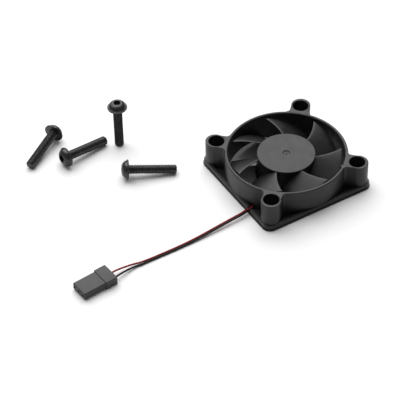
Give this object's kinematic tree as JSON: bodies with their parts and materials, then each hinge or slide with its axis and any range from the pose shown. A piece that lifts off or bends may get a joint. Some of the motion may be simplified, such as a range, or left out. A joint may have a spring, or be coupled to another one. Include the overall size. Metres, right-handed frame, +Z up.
{
  "type": "cooling fan",
  "caption": "Square axial cooling fan for an electronic speed controller, with corner bosses, a two-lead cord, a three-way plug and loose flanged screws.",
  "frame": {"origin": "centre of the fan's underside, on the impeller's axis", "axes": "+Z up along the impeller's axis, towards the air intake; +X and +Y along the square base's sides; the leads leave the -Y side"},
  "size_m": [0.0766, 0.1017, 0.0176],
  "materials": {
    "frame_plastic": "satin black moulding",
    "rotor_plastic": "satin black moulding",
    "plug_plastic": "fine matt dark grey moulding",
    "bright_steel": "ground steel",
    "black_oxide_steel": "oiled black oxide on steel",
    "brass": "turned brass",
    "ferrite": "pressed ferrite",
    "lamination": "stacked electrical steel",
    "insulator": "natural nylon",
    "copper": "enamelled copper winding",
    "board_laminate": "solder-resist green",
    "chip_epoxy": "moulded epoxy",
    "solder": "bright solder",
    "rubber": "matt",
    "label_film": "blank silver film",
    "tin_plate": "tin-plated bronze",
    "red_insulation": "PVC insulation",
    "black_insulation": "PVC insulation"
  },
  "bodies": {
    "frame": {"fan_frame": "frame_plastic", "bearing_tube": "brass", "bearing_cap": "rubber", "base_label": "label_film", "upper_bearing_outer_race": "bright_steel", "lower_bearing_outer_race": "bright_steel", "upper_bearing_balls": "bright_steel", "lower_bearing_balls": "bright_steel", "stator_core": "lamination", "upper_insulator": "insulator", "lower_insulator": "insulator", "coil_1": "copper", "coil_2": "copper", "coil_3": "copper", "coil_4": "copper", "circuit_board": "board_laminate", "driver_chip": "chip_epoxy", "capacitor": "chip_epoxy", "resistor": "chip_epoxy", "red_solder_joint": "solder", "black_solder_joint": "solder", "red_lead_tail": "red_insulation", "black_lead_tail": "black_insulation", "red_wire": "red_insulation", "black_wire": "black_insulation", "plug_housing": "plug_plastic", "red_contact": "tin_plate", "black_contact": "tin_plate"},
    "impeller": {"impeller": "rotor_plastic", "rotor_yoke": "bright_steel", "rotor_magnet": "ferrite", "shaft": "bright_steel", "shaft_bush": "brass", "preload_spring": "bright_steel", "retaining_clip": "bright_steel", "upper_bearing_inner_race": "bright_steel", "lower_bearing_inner_race": "bright_steel"},
    "screw_1": {"screw_1": "black_oxide_steel"},
    "screw_2": {"screw_2": "black_oxide_steel"},
    "screw_3": {"screw_3": "black_oxide_steel"},
    "screw_4": {"screw_4": "black_oxide_steel"}
  },
  "joints": [
    {"name": "impeller_spin", "type": "hinge", "parent": "frame", "child": "impeller", "pos_m": [0, 0, 0], "axis": [0, 0, 1], "continuous": true},
    {"name": "screw_1_lift", "type": "slide", "parent": "frame", "child": "screw_1", "axis": [0, 0, 1], "range_m": [0, 0.03]},
    {"name": "screw_2_lift", "type": "slide", "parent": "frame", "child": "screw_2", "axis": [0, 0, 1], "range_m": [0, 0.03]},
    {"name": "screw_3_lift", "type": "slide", "parent": "frame", "child": "screw_3", "axis": [0, 0, 1], "range_m": [0, 0.03]},
    {"name": "screw_4_lift", "type": "slide", "parent": "frame", "child": "screw_4", "axis": [0, 0, 1], "range_m": [0, 0.03]}
  ]
}
